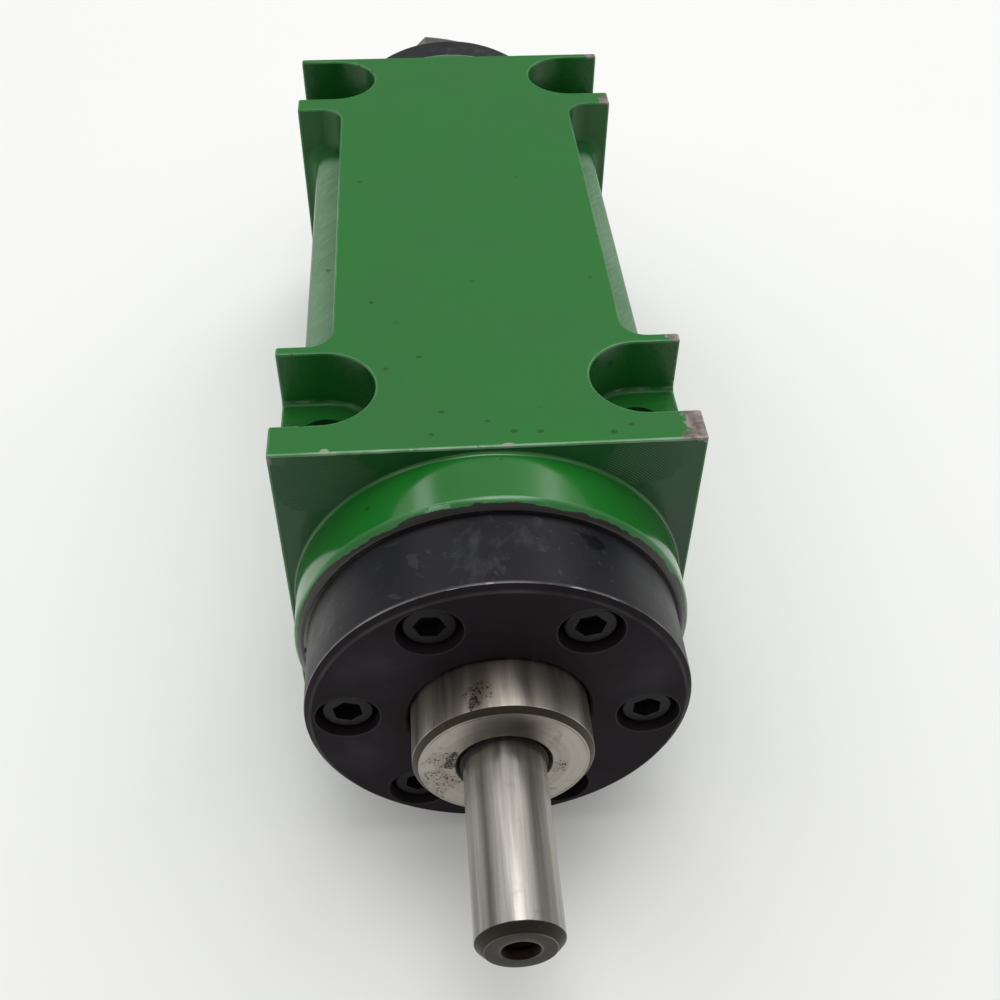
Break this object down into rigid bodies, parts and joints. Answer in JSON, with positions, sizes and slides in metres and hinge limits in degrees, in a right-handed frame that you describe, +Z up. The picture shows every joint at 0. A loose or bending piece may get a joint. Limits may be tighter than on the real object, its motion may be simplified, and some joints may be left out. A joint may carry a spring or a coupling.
{
  "type": "spindle head",
  "caption": "Belt-driven spindle head: square cast housing with side-open bolt pockets, flanged bearing covers, bare belt shaft and a hexagon collet nose.",
  "frame": {"origin": "centre of the four base bolts on the mounting face", "axes": "+Y along the spindle from the belt end to the collet nose, +Z up from the mounting face"},
  "size_m": [0.08, 0.301, 0.08],
  "materials": {
    "green_enamel": "satin gloss enamel on cast iron",
    "black_oxide_steel": "black oxide, satin",
    "black_screw_steel": "black oxide",
    "ground_steel": "turned",
    "shaft_steel": "ground",
    "collar_steel": "ground",
    "collet_steel": "ground",
    "nut_steel": "satin",
    "bearing_steel": "ground",
    "ball_steel": "polished",
    "spring_steel": "bright",
    "brass": "machined",
    "felt": "wool felt"
  },
  "bodies": {
    "housing": {"housing": "green_enamel", "rear_cover": "black_oxide_steel", "rear_cover_screws": "black_screw_steel", "front_cover": "black_oxide_steel", "front_cover_screws": "black_screw_steel", "rear_felt_seal": "felt", "front_felt_seal": "felt", "wave_spring": "spring_steel", "outer_spacer_ring": "ground_steel", "rear_bearing_outer_ring": "bearing_steel", "inner_bearing_outer_ring": "bearing_steel", "nose_bearing_outer_ring": "bearing_steel"},
    "spindle": {"spindle_shaft": "shaft_steel", "rear_collar": "collar_steel", "long_spacer_sleeve": "ground_steel", "inner_spacer_ring": "ground_steel", "rear_bearing_inner_ring": "bearing_steel", "inner_bearing_inner_ring": "bearing_steel", "nose_bearing_inner_ring": "bearing_steel"},
    "rear_ball_train": {"rear_bearing_balls": "ball_steel", "rear_bearing_cage": "brass"},
    "inner_ball_train": {"inner_bearing_balls": "ball_steel", "inner_bearing_cage": "brass"},
    "nose_ball_train": {"nose_bearing_balls": "ball_steel", "nose_bearing_cage": "brass"},
    "collet": {"collet": "collet_steel"},
    "collet_nut": {"collet_nut": "nut_steel"}
  },
  "joints": [
    {"name": "spindle_spin", "type": "hinge", "parent": "housing", "child": "spindle", "pos_m": [0, 0, 0.04], "axis": [0, 1, 0], "continuous": true},
    {"name": "rear_cage_orbit", "type": "hinge", "parent": "housing", "child": "rear_ball_train", "pos_m": [0, 0, 0.04], "axis": [0, 1, 0], "continuous": true},
    {"name": "inner_cage_orbit", "type": "hinge", "parent": "housing", "child": "inner_ball_train", "pos_m": [0, 0, 0.04], "axis": [0, 1, 0], "continuous": true},
    {"name": "nose_cage_orbit", "type": "hinge", "parent": "housing", "child": "nose_ball_train", "pos_m": [0, 0, 0.04], "axis": [0, 1, 0], "continuous": true},
    {"name": "collet_travel", "type": "slide", "parent": "spindle", "child": "collet", "axis": [0, 1, 0], "range_m": [0, 0.0045]},
    {"name": "nut_turn", "type": "hinge", "parent": "collet", "child": "collet_nut", "pos_m": [0, 0, 0.04], "axis": [0, 1, 0], "range_deg": [0, 1081]}
  ],
  "couplings": [
    {"joint": "rear_cage_orbit", "follows": "spindle_spin", "ratio": 0.39758},
    {"joint": "inner_cage_orbit", "follows": "spindle_spin", "ratio": 0.39758},
    {"joint": "nose_cage_orbit", "follows": "spindle_spin", "ratio": 0.39758},
    {"joint": "nut_turn", "follows": "collet_travel", "rad_per_m": 4188.8}
  ]
}
